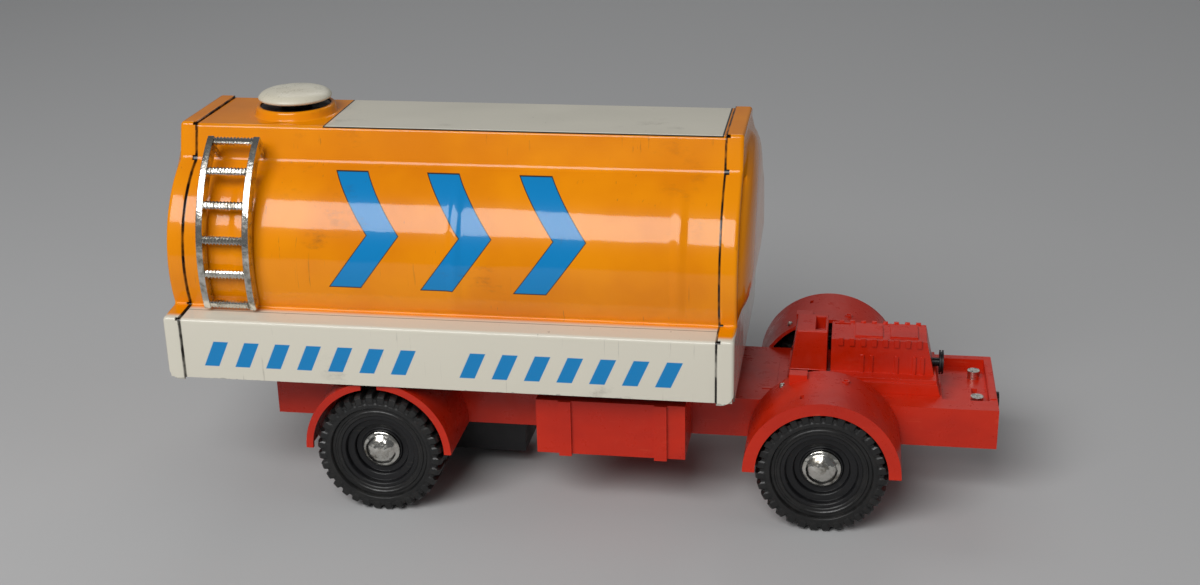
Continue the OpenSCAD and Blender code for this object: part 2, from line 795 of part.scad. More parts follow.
module motor_spacers() {
    color("silver") for (at = spacer_at) {
        pin(at, [-plate_y[0], plate_y[0]], 1.5);
        pin(at, [-plate_y[1] - 0.4, plate_y[1] + 0.4], pin_r);
    }
}

cover_x = [-60, -22.8];
cover_z = 7.4;
cover_half_w = 15;

module motor_cover() {
    color("darkslategray") difference() {
        translate([cover_x[0], -cover_half_w, cover_z])
            cube([cover_x[1] - cover_x[0], 2 * cover_half_w, deck_z - wall - cover_z]);
        translate([cover_x[0] - 1, -cover_half_w + 1, cover_z + 1])
            cube([cover_x[1] - cover_x[0], 2 * (cover_half_w - 1), 40]);
    }
}

tank_shell();
tank_front_cap();
tank_rear_cap();
tank_floor();
filler_neck();
filler_cap();
ladder();
tank_screws();
chassis_frame();
saddle_posts();
rear_fender_right();
rear_fender_left();
front_fender_right();
front_fender_left();
toolbox_right();
toolbox_left();
engine_block();
gearbox_housing();
fan_pulley();
cab_studs();
bracket_rivets();
front_screw();
front_axle();
rear_axle();
tyre_front_right();
tyre_front_left();
tyre_rear_right();
tyre_rear_left();
wheel_front_right();
wheel_front_left();
wheel_rear_right();
wheel_rear_left();
hub_cap_front_right();
hub_cap_front_left();
hub_cap_rear_right();
hub_cap_rear_left();
motor_plate_right();
motor_plate_left();
motor_spacers();
motor_cover();
axle_gear();
idler_shaft();
idler_gear();
flywheel_shaft();
flywheel();
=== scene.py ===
import math
import bpy
import bmesh
from mathutils import Matrix, Vector, noise


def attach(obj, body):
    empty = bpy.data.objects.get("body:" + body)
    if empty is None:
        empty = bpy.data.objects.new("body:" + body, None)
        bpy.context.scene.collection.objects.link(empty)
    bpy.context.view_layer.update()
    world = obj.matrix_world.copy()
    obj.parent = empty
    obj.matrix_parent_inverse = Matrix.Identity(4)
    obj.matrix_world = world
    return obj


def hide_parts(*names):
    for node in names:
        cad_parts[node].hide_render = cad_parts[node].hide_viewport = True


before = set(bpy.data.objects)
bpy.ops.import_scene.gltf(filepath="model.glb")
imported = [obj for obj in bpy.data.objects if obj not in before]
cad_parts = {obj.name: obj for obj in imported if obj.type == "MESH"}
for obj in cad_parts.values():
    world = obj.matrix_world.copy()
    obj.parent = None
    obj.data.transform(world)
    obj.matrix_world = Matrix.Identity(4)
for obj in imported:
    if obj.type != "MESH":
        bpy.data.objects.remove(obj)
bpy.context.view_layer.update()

print("frame loaded")

mm = 0.001    # lengths are written in millimetres and scaled when a piece is finished


def hexLinear(text):
    values = [int(text[i:i + 2], 16) / 255 for i in (1, 3, 5)]
    return tuple(v / 12.92 if v <= 0.04045 else ((v + 0.055) / 1.055) ** 2.4 for v in values) + (1.0,)


def addNode(tree, kind, settings=None, inputs=None):
    # an input is a plain value, a socket to link from, or a node whose first live output is meant
    node = tree.nodes.new("ShaderNode" + kind)
    for key, value in (settings or {}).items():
        setattr(node, key, value)
    for key, part in (inputs or {}).items():
        if isinstance(part, bpy.types.Node):
            part = next(out for out in part.outputs if out.enabled)
        if isinstance(part, bpy.types.NodeSocket):
            tree.links.new(part, node.inputs[key])
        else:
            node.inputs[key].default_value = part
    return node


smooth = {"interpolation_type": "SMOOTHSTEP"}
times, plus, minus = ({"operation": word} for word in ("MULTIPLY", "ADD", "SUBTRACT"))
positive, wrapped = {"operation": "ABSOLUTE"}, {"operation": "FLOORED_MODULO"}
overlay = {"data_type": "RGBA"}


def startMaterial(name, **sockets):
    # a material with one Principled shader, its constant sockets and object coordinates in mm
    material = bpy.data.materials.new(name)
    material.use_nodes = True
    tree = material.node_tree
    shader = tree.nodes["Principled BSDF"]
    for key, value in sockets.items():
        shader.inputs[key.replace("_", " ")].default_value = value
    coords = addNode(tree, "TexCoord")
    inMm = addNode(tree, "VectorMath", {"operation": "SCALE"},
                   {"Vector": coords.outputs["Object"], "Scale": 1 / mm})
    return material, tree, shader, inMm


def grainPattern(tree, inMm, size, detail=4.0, stretch=(1, 1, 1), rough=0.55):
    # soft spots of about size mm, drawn out along an axis by a number below 1
    spread = addNode(tree, "Mapping", None, {"Vector": inMm, "Scale": tuple(s / size for s in stretch)})
    return addNode(tree, "TexNoise", None,
                   {"Vector": spread, "Scale": 1.0, "Detail": detail, "Roughness": rough})


def stripe(tree, value, low, high, soft=0.12):
    # one inside low..high and nought outside
    rise = addNode(tree, "MapRange", smooth, {0: value, 1: low - soft, 2: low + soft, 3: 0.0, 4: 1.0})
    fall = addNode(tree, "MapRange", smooth, {0: value, 1: high - soft, 2: high + soft, 3: 1.0, 4: 0.0})
    return addNode(tree, "Math", times, {0: rise, 1: fall})


def connect(tree, shader, colour, rough, bumps):
    # bumps are (height, strength, depth in mm), laid one over another
    tree.links.new(colour.outputs["Result"], shader.inputs["Base Color"])
    tree.links.new(rough.outputs["Result"], shader.inputs["Roughness"])
    below = None
    for height, strength, depth in bumps:
        inputs = {"Height": height, "Strength": strength, "Distance": depth * mm}
        if below:
            inputs["Normal"] = below
        below = addNode(tree, "Bump", None, inputs)
    for name in ("Normal", "Coat Normal"):
        tree.links.new(below.outputs["Normal"], shader.inputs[name])


# the tin's print: colours, and places in millimetres
printing = {
    # the darkest ink colours the seam lines and is also painted shade in the flange notches
    "inks": {"orange": "#F29200", "orangeDeep": "#E38200", "white": "#DBD6C6", "blue": "#0F82C2",
             "keyLine": "#2B2A26", "soot": "#33241A", "seamLineAndNotchShade": "#120D0A", "tin": "#A9A69C"},
    "chevrons": 3, "chevronStart": -69.5, "chevronPitch": 31.5, "chevronWide": 10.5, "chevronLean": 0.75,
    "chevronLow": 79.0, "chevronHigh": 114.0, "chevronInset": 1.0, "chevronGap": 2.0, "chevronLine": 0.35,
    "dashRows": ((-125.5, 73.0), (-36.5, 77.0)), "dashPitch": 10.9, "dashWide": 5.2, "dashInset": 2.0,
    "dashLow": 51.6, "dashHigh": 60.6, "dashMiddle": 56.0, "dashLean": 0.45,
    "upperSideY": (22.1, 60.0), "skirtSideY": (49.8, 60.0),
    "ledgeLineY": (43.2, 43.55), "ledgeLineZ": (67.6, 69.6),
    "panelX": (-87.5, 47.5), "panelHalf": 17.9, "panelLine": 0.55, "roofFade": (126.9, 127.2),
    "valleyZ": 69.12, "valleyFade": 0.12, "rubbedZ": (48.0, 48.35), "chipReach": 2.6,
    "creases": ((18.5, 127.6), (22.0, 115.9), (39.9, 69.3), (50.9, 68.3)),
    "seamHalf": 0.3, "notchHalfY": 1.7, "notchHalfZ": 2.1,
}


def printedTinplate(name, withPrint, seams):
    # offset-printed tinplate under clear lacquer: flat even colour, glossy, with rubbed
    #     edges, dark seam lines, painted shade in the flange notches and hairline scratches
    material, tree, shader, inMm = startMaterial(
        name, Coat_Weight=0.75, Coat_Roughness=0.06, Coat_IOR=1.42, Specular_IOR_Level=0.1)
    p = printing
    ink = {key: hexLinear(text) for key, text in p["inks"].items()}
    axes = addNode(tree, "SeparateXYZ", None, {"Vector": inMm})
    x, z = axes.outputs["X"], axes.outputs["Z"]
    side = addNode(tree, "Math", positive, {0: axes.outputs["Y"]})

    fade = addNode(tree, "MapRange", smooth, {0: grainPattern(tree, inMm, 38.0, 3.0), 1: 0.35, 2: 0.7})
    colour = addNode(tree, "Mix", overlay, {0: fade, 6: ink["orange"], 7: ink["orangeDeep"]})

    if withPrint:
        # three broad chevrons on the side, with a dark outline
        rise = addNode(tree, "Math", minus, {0: z, 1: (p["chevronLow"] + p["chevronHigh"]) / 2})
        rise = addNode(tree, "Math", positive, {0: rise})
        lean = addNode(tree, "Math", times, {0: rise, 1: p["chevronLean"]})
        along = addNode(tree, "Math", plus, {0: x, 1: lean})
        fromStart = addNode(tree, "Math", minus, {0: along, 1: p["chevronStart"]})
        inPitch = addNode(tree, "Math", wrapped, {0: fromStart, 1: p["chevronPitch"]})
        lastX = p["chevrons"] * p["chevronPitch"] - p["chevronGap"]
        window = addNode(tree, "Math", times, {0: stripe(tree, fromStart, -p["chevronGap"], lastX),
                                               1: stripe(tree, side, *p["upperSideY"])})
        first = p["chevronInset"]
        for grow, layer in ((p["chevronLine"], "keyLine"), (0.0, "blue")):
            stroke = stripe(tree, inPitch, first - grow, first + p["chevronWide"] + grow)
            band = stripe(tree, z, p["chevronLow"] - grow, p["chevronHigh"] + grow)
            shape = addNode(tree, "Math", times, {0: stroke, 1: band})
            shape = addNode(tree, "Math", times, {0: shape, 1: window})
            colour = addNode(tree, "Mix", overlay, {0: shape, 6: colour, 7: ink[layer]})

    # white from the valley down
    low, high = p["valleyZ"] - p["valleyFade"], p["valleyZ"] + p["valleyFade"]
    below = addNode(tree, "MapRange", smooth, {0: z, 1: low, 2: high, 3: 1.0, 4: 0.0})
    colour = addNode(tree, "Mix", overlay, {0: below, 6: colour, 7: ink["white"]})

    if withPrint:
        # a thin line along the ledge
        line = addNode(tree, "Math", times, {0: stripe(tree, side, *p["ledgeLineY"], 0.08),
                                             1: stripe(tree, z, *p["ledgeLineZ"])})
        line = addNode(tree, "Math", times, {0: line, 1: 0.75})
        colour = addNode(tree, "Mix", overlay, {0: line, 6: colour, 7: ink["keyLine"]})

        # two rows of leaning dashes on the skirt
        tilt = addNode(tree, "Math", times, {0: z, 1: -p["dashLean"]})
        leaned = addNode(tree, "Math", plus, {0: x, 1: tilt})
        band = addNode(tree, "Math", times, {0: stripe(tree, z, p["dashLow"], p["dashHigh"]),
                                             1: stripe(tree, side, *p["skirtSideY"])})
        first = p["dashInset"]
        for start, length in p["dashRows"]:
            fromStart = addNode(tree, "Math", minus, {0: leaned, 1: start - p["dashLean"] * p["dashMiddle"]})
            inPitch = addNode(tree, "Math", wrapped, {0: fromStart, 1: p["dashPitch"]})
            dash = addNode(tree, "Math", times, {0: stripe(tree, inPitch, first, first + p["dashWide"], 0.15),
                                                 1: stripe(tree, fromStart, 0.0, length)})
            dash = addNode(tree, "Math", times, {0: dash, 1: band})
            colour = addNode(tree, "Mix", overlay, {0: dash, 6: colour, 7: ink["blue"]})

        # the roof's panel with its key line
        onRoof = addNode(tree, "MapRange", smooth, {0: z, 1: p["roofFade"][0], 2: p["roofFade"][1]})
        for grow, layer in ((p["panelLine"], "keyLine"), (0.0, "white")):
            panel = addNode(tree, "Math", times,
                            {0: stripe(tree, x, p["panelX"][0] - grow, p["panelX"][1] + grow),
                             1: stripe(tree, side, -1.0, p["panelHalf"] + grow)})
            panel = addNode(tree, "Math", times, {0: panel, 1: onRoof})
            colour = addNode(tree, "Mix", overlay, {0: panel, 6: colour, 7: ink[layer]})

    # smudges of handled grime and hairline scratches
    smudge = grainPattern(tree, inMm, 11.0, 6.0, (0.7, 1, 1.4), 0.7)
    smudges = addNode(tree, "MapRange", smooth, {0: smudge, 1: 0.55, 2: 0.78, 3: 0.0, 4: 0.5})
    patch = addNode(tree, "MapRange", smooth, {0: grainPattern(tree, inMm, 46.0, 2.0), 1: 0.5, 2: 0.66})
    dirty = addNode(tree, "Math", times, {0: smudges, 1: patch})
    colour = addNode(tree, "Mix", overlay, {0: dirty, 6: colour, 7: ink["soot"]})
    hair = grainPattern(tree, inMm, 1.1, 3.0, (1.0, 0.4, 0.03))
    hairs = addNode(tree, "MapRange", smooth, {0: hair, 1: 0.66, 2: 0.72, 3: 0.0, 4: 0.35})
    patch = addNode(tree, "MapRange", smooth, {0: grainPattern(tree, inMm, 17.0, 3.0), 1: 0.48, 2: 0.62})
    scratch = addNode(tree, "Math", times, {0: hairs, 1: patch})
    colour = addNode(tree, "Mix", overlay, {0: scratch, 6: colour, 7: ink["soot"]})

    # a dark line where a flange laps the shell, and painted shade in the notches at its creases, where the
    # gap would lie in shadow
    uneven = addNode(tree, "MapRange", smooth,
                     {0: grainPattern(tree, inMm, 6.0, 3.0), 1: 0.3, 2: 0.6, 3: 0.55, 4: 1.0})
    half, tall, wide = p["seamHalf"], p["notchHalfZ"], p["notchHalfY"]
    for edge, inner in seams:
        seam = addNode(tree, "Math", times, {0: stripe(tree, x, edge - half, edge + half, 0.15), 1: uneven})
        notches = stripe(tree, x, min(edge, inner), max(edge, inner))
        for across, high in p["creases"]:
            spot = addNode(tree, "Math", times, {0: stripe(tree, side, across - wide, across + wide),
                                                 1: stripe(tree, z, high - tall, high + tall)})
            spot = addNode(tree, "Math", times, {0: spot, 1: notches})
            seam = addNode(tree, "Math", {"operation": "MAXIMUM"}, {0: seam, 1: spot})
        colour = addNode(tree, "Mix", overlay, {0: seam, 6: colour, 7: ink["seamLineAndNotchShade"]})

    # rubbed lower edge where the bare tin shows
    chip = addNode(tree, "Math", times, {0: grainPattern(tree, inMm, 2.2, 5.0), 1: p["chipReach"]})
    lowEdge = addNode(tree, "Math", plus, {0: z, 1: chip})
    rubbed = addNode(tree, "MapRange", smooth,
                     {0: lowEdge, 1: p["rubbedZ"][0], 2: p["rubbedZ"][1], 3: 0.9, 4: 0.0})
    colour = addNode(tree, "Mix", overlay, {0: rubbed, 6: colour, 7: ink["tin"]})

    dull = addNode(tree, "Math", plus, {0: dirty, 1: scratch})
    rough = addNode(tree, "MapRange", smooth, {0: dull, 1: 0.0, 2: 0.8, 3: 0.26, 4: 0.6})
    connect(tree, shader, colour, rough, [(grainPattern(tree, inMm, 30.0, 1.0), 0.5, 0.9),
                                          (grainPattern(tree, inMm, 0.9, 2.0), 0.05, 0.2), (hair, 0.04, 0.2)])
    return material


def bareTinplate():
    # unprinted rolled tinplate: soft grey metal with a rolling grain and dull fingerprints
    material, tree, shader, inMm = startMaterial("bareTinplate", Metallic=1.0)
    roll = grainPattern(tree, inMm, 1.2, 4.0, (0.05, 1, 1))
    stain = grainPattern(tree, inMm, 14.0, 5.0)
    stained = addNode(tree, "MapRange", smooth, {0: stain, 1: 0.4, 2: 0.7})
    colour = addNode(tree, "Mix", overlay, {0: stained, 6: hexLinear("#B4B1A8"), 7: hexLinear("#8A857A")})
    rough = addNode(tree, "MapRange", smooth, {0: roll, 1: 0.3, 2: 0.75, 3: 0.28, 4: 0.5})
    connect(tree, shader, colour, rough, [(roll, 0.12, 0.1), (stain, 0.1, 0.3)])
    return material


def mouldedPolystyrene(name, fresh, shade, worn, roughLow, roughHigh, dust=0.25):
    # injection-moulded polystyrene: fairly glossy, flow marks in the colour, dull rubbed
    # patches with fine scratches, dust in the low places
    material, tree, shader, inMm = startMaterial(name, IOR=1.45)
    flow = addNode(tree, "MapRange", smooth,
                   {0: grainPattern(tree, inMm, 26.0, 4.0, (0.5, 1, 1)), 1: 0.35, 2: 0.68})
    colour = addNode(tree, "Mix", overlay, {0: flow, 6: hexLinear(fresh), 7: hexLinear(shade)})
    rub = grainPattern(tree, inMm, 5.0, 6.0, (1, 1, 1), 0.7)
    rubbed = addNode(tree, "MapRange", smooth, {0: rub, 1: 0.58, 2: 0.8, 3: 0.0, 4: dust})
    colour = addNode(tree, "Mix", overlay, {0: rubbed, 6: colour, 7: hexLinear(worn)})
    line = grainPattern(tree, inMm, 0.9, 3.0, (0.06, 0.5, 1.0))
    lines = addNode(tree, "MapRange", smooth, {0: line, 1: 0.62, 2: 0.7, 3: 0.0, 4: 0.4})
    patch = addNode(tree, "MapRange", smooth, {0: grainPattern(tree, inMm, 12.0, 3.0), 1: 0.5, 2: 0.62})
    scratch = addNode(tree, "Math", times, {0: lines, 1: patch})
    colour = addNode(tree, "Mix", overlay, {0: scratch, 6: colour, 7: hexLinear(worn)})
    rough = addNode(tree, "MapRange", smooth, {0: rub, 1: 0.35, 2: 0.75, 3: roughLow, 4: roughHigh})
    connect(tree, shader, colour, rough, [(grainPattern(tree, inMm, 9.0, 2.0), 0.25, 0.5),
                                          (grainPattern(tree, inMm, 0.6, 2.0), 0.05, 0.15),
                                          (line, 0.06, 0.1)])
    return material


def chromedPlastic():
    # vacuum-metallised plastic: mirror-like but thin, so it has dulled, pitted and
    # yellowed where it was touched
    material, tree, shader, inMm = startMaterial("vacuumChromedPlastic", Metallic=1.0)
    age = grainPattern(tree, inMm, 4.5, 6.0, (1, 1, 1), 0.7)
    aged = addNode(tree, "MapRange", smooth, {0: age, 1: 0.42, 2: 0.7})
    colour = addNode(tree, "Mix", overlay, {0: aged, 6: hexLinear("#D6D4CD"), 7: hexLinear("#7D776B")})
    cells = addNode(tree, "TexVoronoi", None, {"Vector": inMm, "Scale": 1.4})
    pits = addNode(tree, "MapRange", smooth,
                   {0: cells.outputs["Distance"], 1: 0.05, 2: 0.16, 3: 0.75, 4: 0.0})
    patch = addNode(tree, "MapRange", smooth, {0: age, 1: 0.5, 2: 0.62})
    pitted = addNode(tree, "Math", times, {0: pits, 1: patch})
    colour = addNode(tree, "Mix", overlay, {0: pitted, 6: colour, 7: hexLinear("#2B2822")})
    rough = addNode(tree, "MapRange", smooth, {0: age, 1: 0.35, 2: 0.8, 3: 0.12, 4: 0.45})
    connect(tree, shader, colour, rough, [(grainPattern(tree, inMm, 1.6, 3.0), 0.35, 0.3)])
    return material


def turnedSteel(name, bright, dull, roughLow, roughHigh):
    # plated steel pins and heads: fine turning marks and brown freckles of rust
    material, tree, shader, inMm = startMaterial(name, Metallic=1.0)
    spots = grainPattern(tree, inMm, 1.3, 5.0)
    spotted = addNode(tree, "MapRange", smooth, {0: spots, 1: 0.45, 2: 0.7})
    colour = addNode(tree, "Mix", overlay, {0: spotted, 6: hexLinear(bright), 7: hexLinear(dull)})
    rust = addNode(tree, "MapRange", smooth,
                   {0: grainPattern(tree, inMm, 0.8), 1: 0.64, 2: 0.72, 3: 0.0, 4: 0.7})
    colour = addNode(tree, "Mix", overlay, {0: rust, 6: colour, 7: hexLinear("#5E3A22")})
    rough = addNode(tree, "MapRange", smooth, {0: spots, 1: 0.3, 2: 0.7, 3: roughLow, 4: roughHigh})
    connect(tree, shader, colour, rough, [(spots, 0.15, 0.1)])
    return material


def tyreRubber():
    # moulded black rubber: satin, slightly mottled, pale dust caught in the rough parts
    material, tree, shader, inMm = startMaterial("mouldedBlackRubber", Specular_IOR_Level=0.5)
    mottle = grainPattern(tree, inMm, 5.0, 5.0)
    mottled = addNode(tree, "MapRange", smooth, {0: mottle, 1: 0.4, 2: 0.7})
    colour = addNode(tree, "Mix", overlay, {0: mottled, 6: hexLinear("#121212"), 7: hexLinear("#1C1B1A")})
    dust = grainPattern(tree, inMm, 1.6, 6.0, (1, 1, 1), 0.75)
    dusty = addNode(tree, "MapRange", smooth, {0: dust, 1: 0.6, 2: 0.85, 3: 0.0, 4: 0.28})
    colour = addNode(tree, "Mix", overlay, {0: dusty, 6: colour, 7: hexLinear("#6E6A62")})
    rough = addNode(tree, "MapRange", smooth, {0: dust, 1: 0.35, 2: 0.7, 3: 0.3, 4: 0.62})
    connect(tree, shader, colour, rough, [(mottle, 0.15, 0.3),
                                          (grainPattern(tree, inMm, 0.7, 3.0), 0.1, 0.12)])
    return material


materials = {
    "shell": printedTinplate("printedTinplateShell", True, ((-132.65, -134.15), (48.75, 50.25))),
    "ends": printedTinplate("printedTinplateEnds", False, ((-132.85, -133.2), (48.95, 49.3))),
    "tin": bareTinplate(),
    "red": mouldedPolystyrene("mouldedRedPolystyrene", "#CE2808", "#B81F06", "#D9583A", 0.26, 0.5),
    "black": mouldedPolystyrene("mouldedBlackPlastic", "#151517", "#101012", "#47453F", 0.3, 0.55),
    "ivory": mouldedPolystyrene("mouldedIvoryPolystyrene", "#DEDAC9", "#D2CBB7", "#A09885", 0.25, 0.45, 0.35),
    "nylon": mouldedPolystyrene("mouldedWhiteNylon", "#E4E2DA", "#D6D2C4", "#8F887A", 0.35, 0.55, 0.3),
    "chrome": chromedPlastic(),
    "steel": turnedSteel("platedSteel", "#B9B6AE", "#8C887E", 0.22, 0.42),
    "blackened": turnedSteel("blackenedSteel", "#3D3A36", "#25221F", 0.35, 0.55),
    "zinc": turnedSteel("castZinc", "#96979A", "#6F7073", 0.38, 0.6),
    "rivet": turnedSteel("platedRivets", "#D8D6CE", "#A6A297", 0.2, 0.4),
    "rubber": tyreRubber(),
}
print("materials made")


def finishPiece(name, bm, material, body, replaced, sharp=34, sheet=0.0):
    # sheet is the thickness given to an open skin; flats keep flat shading beside rounded edges
    bmesh.ops.scale(bm, vec=(mm,) * 3, verts=bm.verts)
    mesh = bpy.data.meshes.new(name)
    bm.to_mesh(mesh)
    bm.free()
    mesh.polygons.foreach_set("use_smooth", [True] * len(mesh.polygons))
    mesh.set_sharp_from_angle(angle=math.radians(sharp))
    piece = bpy.data.objects.new(name, mesh)
    bpy.context.collection.objects.link(piece)
    mesh.materials.append(materials[material])
    if sheet:
        wall = piece.modifiers.new("sheet", "SOLIDIFY")
        wall.thickness = sheet * mm
        wall.offset = -1.0
    flats = piece.modifiers.new("flats", "WEIGHTED_NORMAL")
    flats.keep_sharp = True
    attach(piece, body)
    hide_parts(*replaced)


def onEdges(bm, test):
    return [e for e in bm.edges if test((e.verts[0].co + e.verts[1].co) / 2, e)]


def softenEdges(bm, width, angle):
    sharpEdges = [e for e in bm.edges
                  if len(e.link_faces) == 2 and e.calc_face_angle(0.0) > math.radians(angle)]
    bmesh.ops.bevel(bm, geom=sharpEdges, offset=width, offset_type="OFFSET", segments=2,
                    profile=0.5, affect="EDGES", clamp_overlap=True, material=-1)


def lathe(bm, points, steps=64, width=0.0):
    # spins (radius, height) points round Z and rounds the ridges
    chain = [bm.verts.new((r, 0, h)) for r, h in points]
    edges = [bm.edges.new(pair) for pair in zip(chain, chain[1:])]
    bmesh.ops.spin(bm, geom=chain + edges, cent=(0, 0, 0), axis=(0, 0, 1), angle=math.tau,
                   steps=steps, use_merge=True, use_duplicate=False)
    bmesh.ops.remove_doubles(bm, verts=bm.verts, dist=0.0005)
    bmesh.ops.recalc_face_normals(bm, faces=bm.faces)
    if width:
        softenEdges(bm, width, 24)


def placed(bm, at, facing="Z"):
    turns = {"Z": Matrix(), "X": Matrix.Rotation(math.pi / 2, 4, "Y"),
             "-Y": Matrix.Rotation(math.pi / 2, 4, "X"), "Y": Matrix.Rotation(-math.pi / 2, 4, "X")}
    bmesh.ops.transform(bm, matrix=Matrix.Translation(at) @ turns[facing], verts=bm.verts)


def cutAcross(bm, axis, values):
    for value in values:
        where = [0.0, 0.0, 0.0]
        normal = [0.0, 0.0, 0.0]
        where[axis], normal[axis] = value, 1.0
        bmesh.ops.bisect_plane(bm, geom=bm.verts[:] + bm.edges[:] + bm.faces[:], dist=0.0001,
                               plane_co=where, plane_no=normal)


# the tank's tin shell
tank = {
    "rearX": -138.0, "frontX": 54.1, "sheet": 0.6, "roofHalf": 18.5, "roofZ": 127.6,
    "shoulder": (22.0, 115.9), "valley": (39.6, 69.3), "bulge": 9.5, "arcSteps": 18,
    "skirtHalf": 50.9, "ledgeZ": 68.3, "skirtZ": 47.0, "creaseRound": 1.1,
    "beadX": (-114.0, -39.0, 35.4), "beadHalf": 3.2, "beadHigh": 0.48, "beadAngles": (-19, 55),
    "beadEase": 12, "plainX": (-130, -120, -88, -72, -56, -20, 0, 18, 48),
    "endPanelLow": 70.8, "fillerX": -103.5, "bossPatch": 15.8, "bossLow": 14.9,
    "boss": ((14.5, 0.12), (14.25, 0.5), (13.95, 1.6), (13.8, 2.4), (13.55, 2.85), (13.2, 3.06),
             (12.7, 3.1), (12.2, 3.05)),
}


def bulgeArc():
    # centre, radius and end angles of the arc that bulges the side
    (y0, z0), (y1, z1) = tank["shoulder"], tank["valley"]
    chord = Vector((y1 - y0, z1 - z0))
    radius = (chord.length_squared / 4 + tank["bulge"] ** 2) / (2 * tank["bulge"])
    outwards = Vector((-chord.y, chord.x)).normalized()
    centre = Vector(((y0 + y1) / 2, (z0 + z1) / 2)) - (radius - tank["bulge"]) * outwards
    return centre, radius, math.atan2(z0 - centre.y, y0 - centre.x)


arcCentre, arcRadius, arcTop = bulgeArc()


def halfProfile(bm, x, grow, lowZ):
    # the tank's half outline as a chain of edges at x, the bulge by a spin; with no lowZ it is
    # the end panel's, which stops above the ledge
    lastZ = tank["valley"][1] + grow if lowZ else tank["endPanelLow"]
    low = math.asin((lastZ - arcCentre.y) / (arcRadius + grow))
    start = bm.verts.new((x, arcCentre.x + (arcRadius + grow) * math.cos(arcTop),
                          arcCentre.y + (arcRadius + grow) * math.sin(arcTop)))
    spun = bmesh.ops.spin(bm, geom=[start], cent=(x, arcCentre.x, arcCentre.y), axis=(1, 0, 0),
                          angle=low - arcTop, steps=tank["arcSteps"], use_merge=False)
    last = [g for g in spun["geom_last"] if isinstance(g, bmesh.types.BMVert)][0]
    roofMiddle = bm.verts.new((x, 0, tank["roofZ"] + grow))
    roofCorner = bm.verts.new((x, tank["roofHalf"] + grow / 2, tank["roofZ"] + grow))
    pairs = [(roofMiddle, roofCorner), (roofCorner, start)]
    if lowZ:
        ledge = bm.verts.new((x, tank["skirtHalf"] + grow, tank["ledgeZ"] + grow))
        foot = bm.verts.new((x, tank["skirtHalf"] + grow, lowZ))
        pairs += [(last, ledge), (ledge, foot)]
    for pair in pairs:
        bm.edges.new(pair)


def creaseNear(y, z, reach, grow=0.0):
    # true close to one of the profile's creases
    places = ((tank["roofHalf"], tank["roofZ"]), tank["shoulder"], tank["valley"],
              (tank["skirtHalf"], tank["ledgeZ"]))
    return any(math.hypot(abs(y) - a, z - b) < reach + 1.2 * grow for a, b in places)


def mirrorAcross(bm):
    bmesh.ops.mirror(bm, geom=bm.verts[:] + bm.edges[:] + bm.faces[:], axis="Y", merge_dist=0.001)
    bmesh.ops.remove_doubles(bm, verts=bm.verts, dist=0.001)


def makeShell():
    bm = bmesh.new()
    halfProfile(bm, tank["rearX"], 0.0, tank["skirtZ"])
    grown = bmesh.ops.extrude_edge_only(bm, edges=bm.edges[:])
    moved = [g for g in grown["geom"] if isinstance(g, bmesh.types.BMVert)]
    bmesh.ops.translate(bm, verts=moved, vec=(tank["frontX"] - tank["rearX"], 0, 0))
    creases = onEdges(bm, lambda m, e: abs(e.verts[0].co.x - e.verts[1].co.x) > 1
                      and creaseNear(m.y, m.z, 0.1))
    bmesh.ops.bevel(bm, geom=creases, offset=tank["creaseRound"], offset_type="OFFSET", segments=4,
                    profile=0.5, affect="EDGES", clamp_overlap=True, material=-1)
    # stations for the pressed beads, with plain sheet between them
    stations = list(tank["plainX"])
    for x in tank["beadX"]:
        stations += [x + tank["beadHalf"] * k / 5 for k in range(-5, 6)]
    patch = tank["bossPatch"]
    cutAcross(bm, 0, stations + [tank["fillerX"] - patch, tank["fillerX"] + patch])
    lowAngle, highAngle = tank["beadAngles"]
    for v in bm.verts:
        spoke = Vector((v.co.y, v.co.z)) - arcCentre
        angle = math.degrees(math.atan2(spoke.y, spoke.x))
        for x in tank["beadX"]:
            off = abs(v.co.x - x)
            onSide = lowAngle < angle < highAngle and abs(spoke.length - arcRadius) < 0.05
            if onSide and off < tank["beadHalf"]:
                ends = min(1.0, (angle - lowAngle) / tank["beadEase"], (highAngle - angle) / tank["beadEase"])
                rise = tank["beadHigh"] * math.cos(math.pi * off / tank["beadHalf"] / 2) ** 2 * ends
                v.co.y += rise * spoke.x / spoke.length
                v.co.z += rise * spoke.y / spoke.length
    mirrorAcross(bm)
    # the round boss pressed up under the filler, with the neck's hole in its top
    hole = [f for f in bm.faces if abs(f.calc_center_median().x - tank["fillerX"]) < patch
            and f.calc_center_median().z > tank["roofZ"] - 0.01 and abs(f.normal.z) > 0.99]
    bmesh.ops.delete(bm, geom=hole, context="FACES")
    border = onEdges(bm, lambda m, e: len(e.link_faces) == 1 and abs(m.x - tank["fillerX"]) < patch + 0.5
                     and m.z > tank["roofZ"] - 0.05)
    rim = bmesh.ops.create_circle(bm, cap_ends=False, segments=64, radius=tank["bossLow"])["verts"]
    bmesh.ops.translate(bm, verts=rim, vec=(tank["fillerX"], 0, tank["roofZ"]))
    ring = list({e for v in rim for e in v.link_edges})
    bmesh.ops.bridge_loops(bm, edges=border + ring)
    radius, height = tank["bossLow"], 0.0
    for nextR, nextH in tank["boss"]:
        grown = bmesh.ops.extrude_edge_only(bm, edges=ring)["geom"]
        rimVerts = [g for g in grown if isinstance(g, bmesh.types.BMVert)]
        ring = [g for g in grown if isinstance(g, bmesh.types.BMEdge)
                and g.verts[0] in rimVerts and g.verts[1] in rimVerts]
        bmesh.ops.scale(bm, vec=(nextR / radius, nextR / radius, 1), verts=rimVerts,
                        space=Matrix.Translation((-tank["fillerX"], 0, 0)))
        bmesh.ops.translate(bm, verts=rimVerts, vec=(0, 0, nextH - height))
        radius, height = nextR, nextH
    bmesh.ops.recalc_face_normals(bm, faces=bm.faces)
    finishPiece("tankShellSkin", bm, "shell", "truck", ["tank_shell"], 40, tank["sheet"])


makeShell()
print("tank shell made")

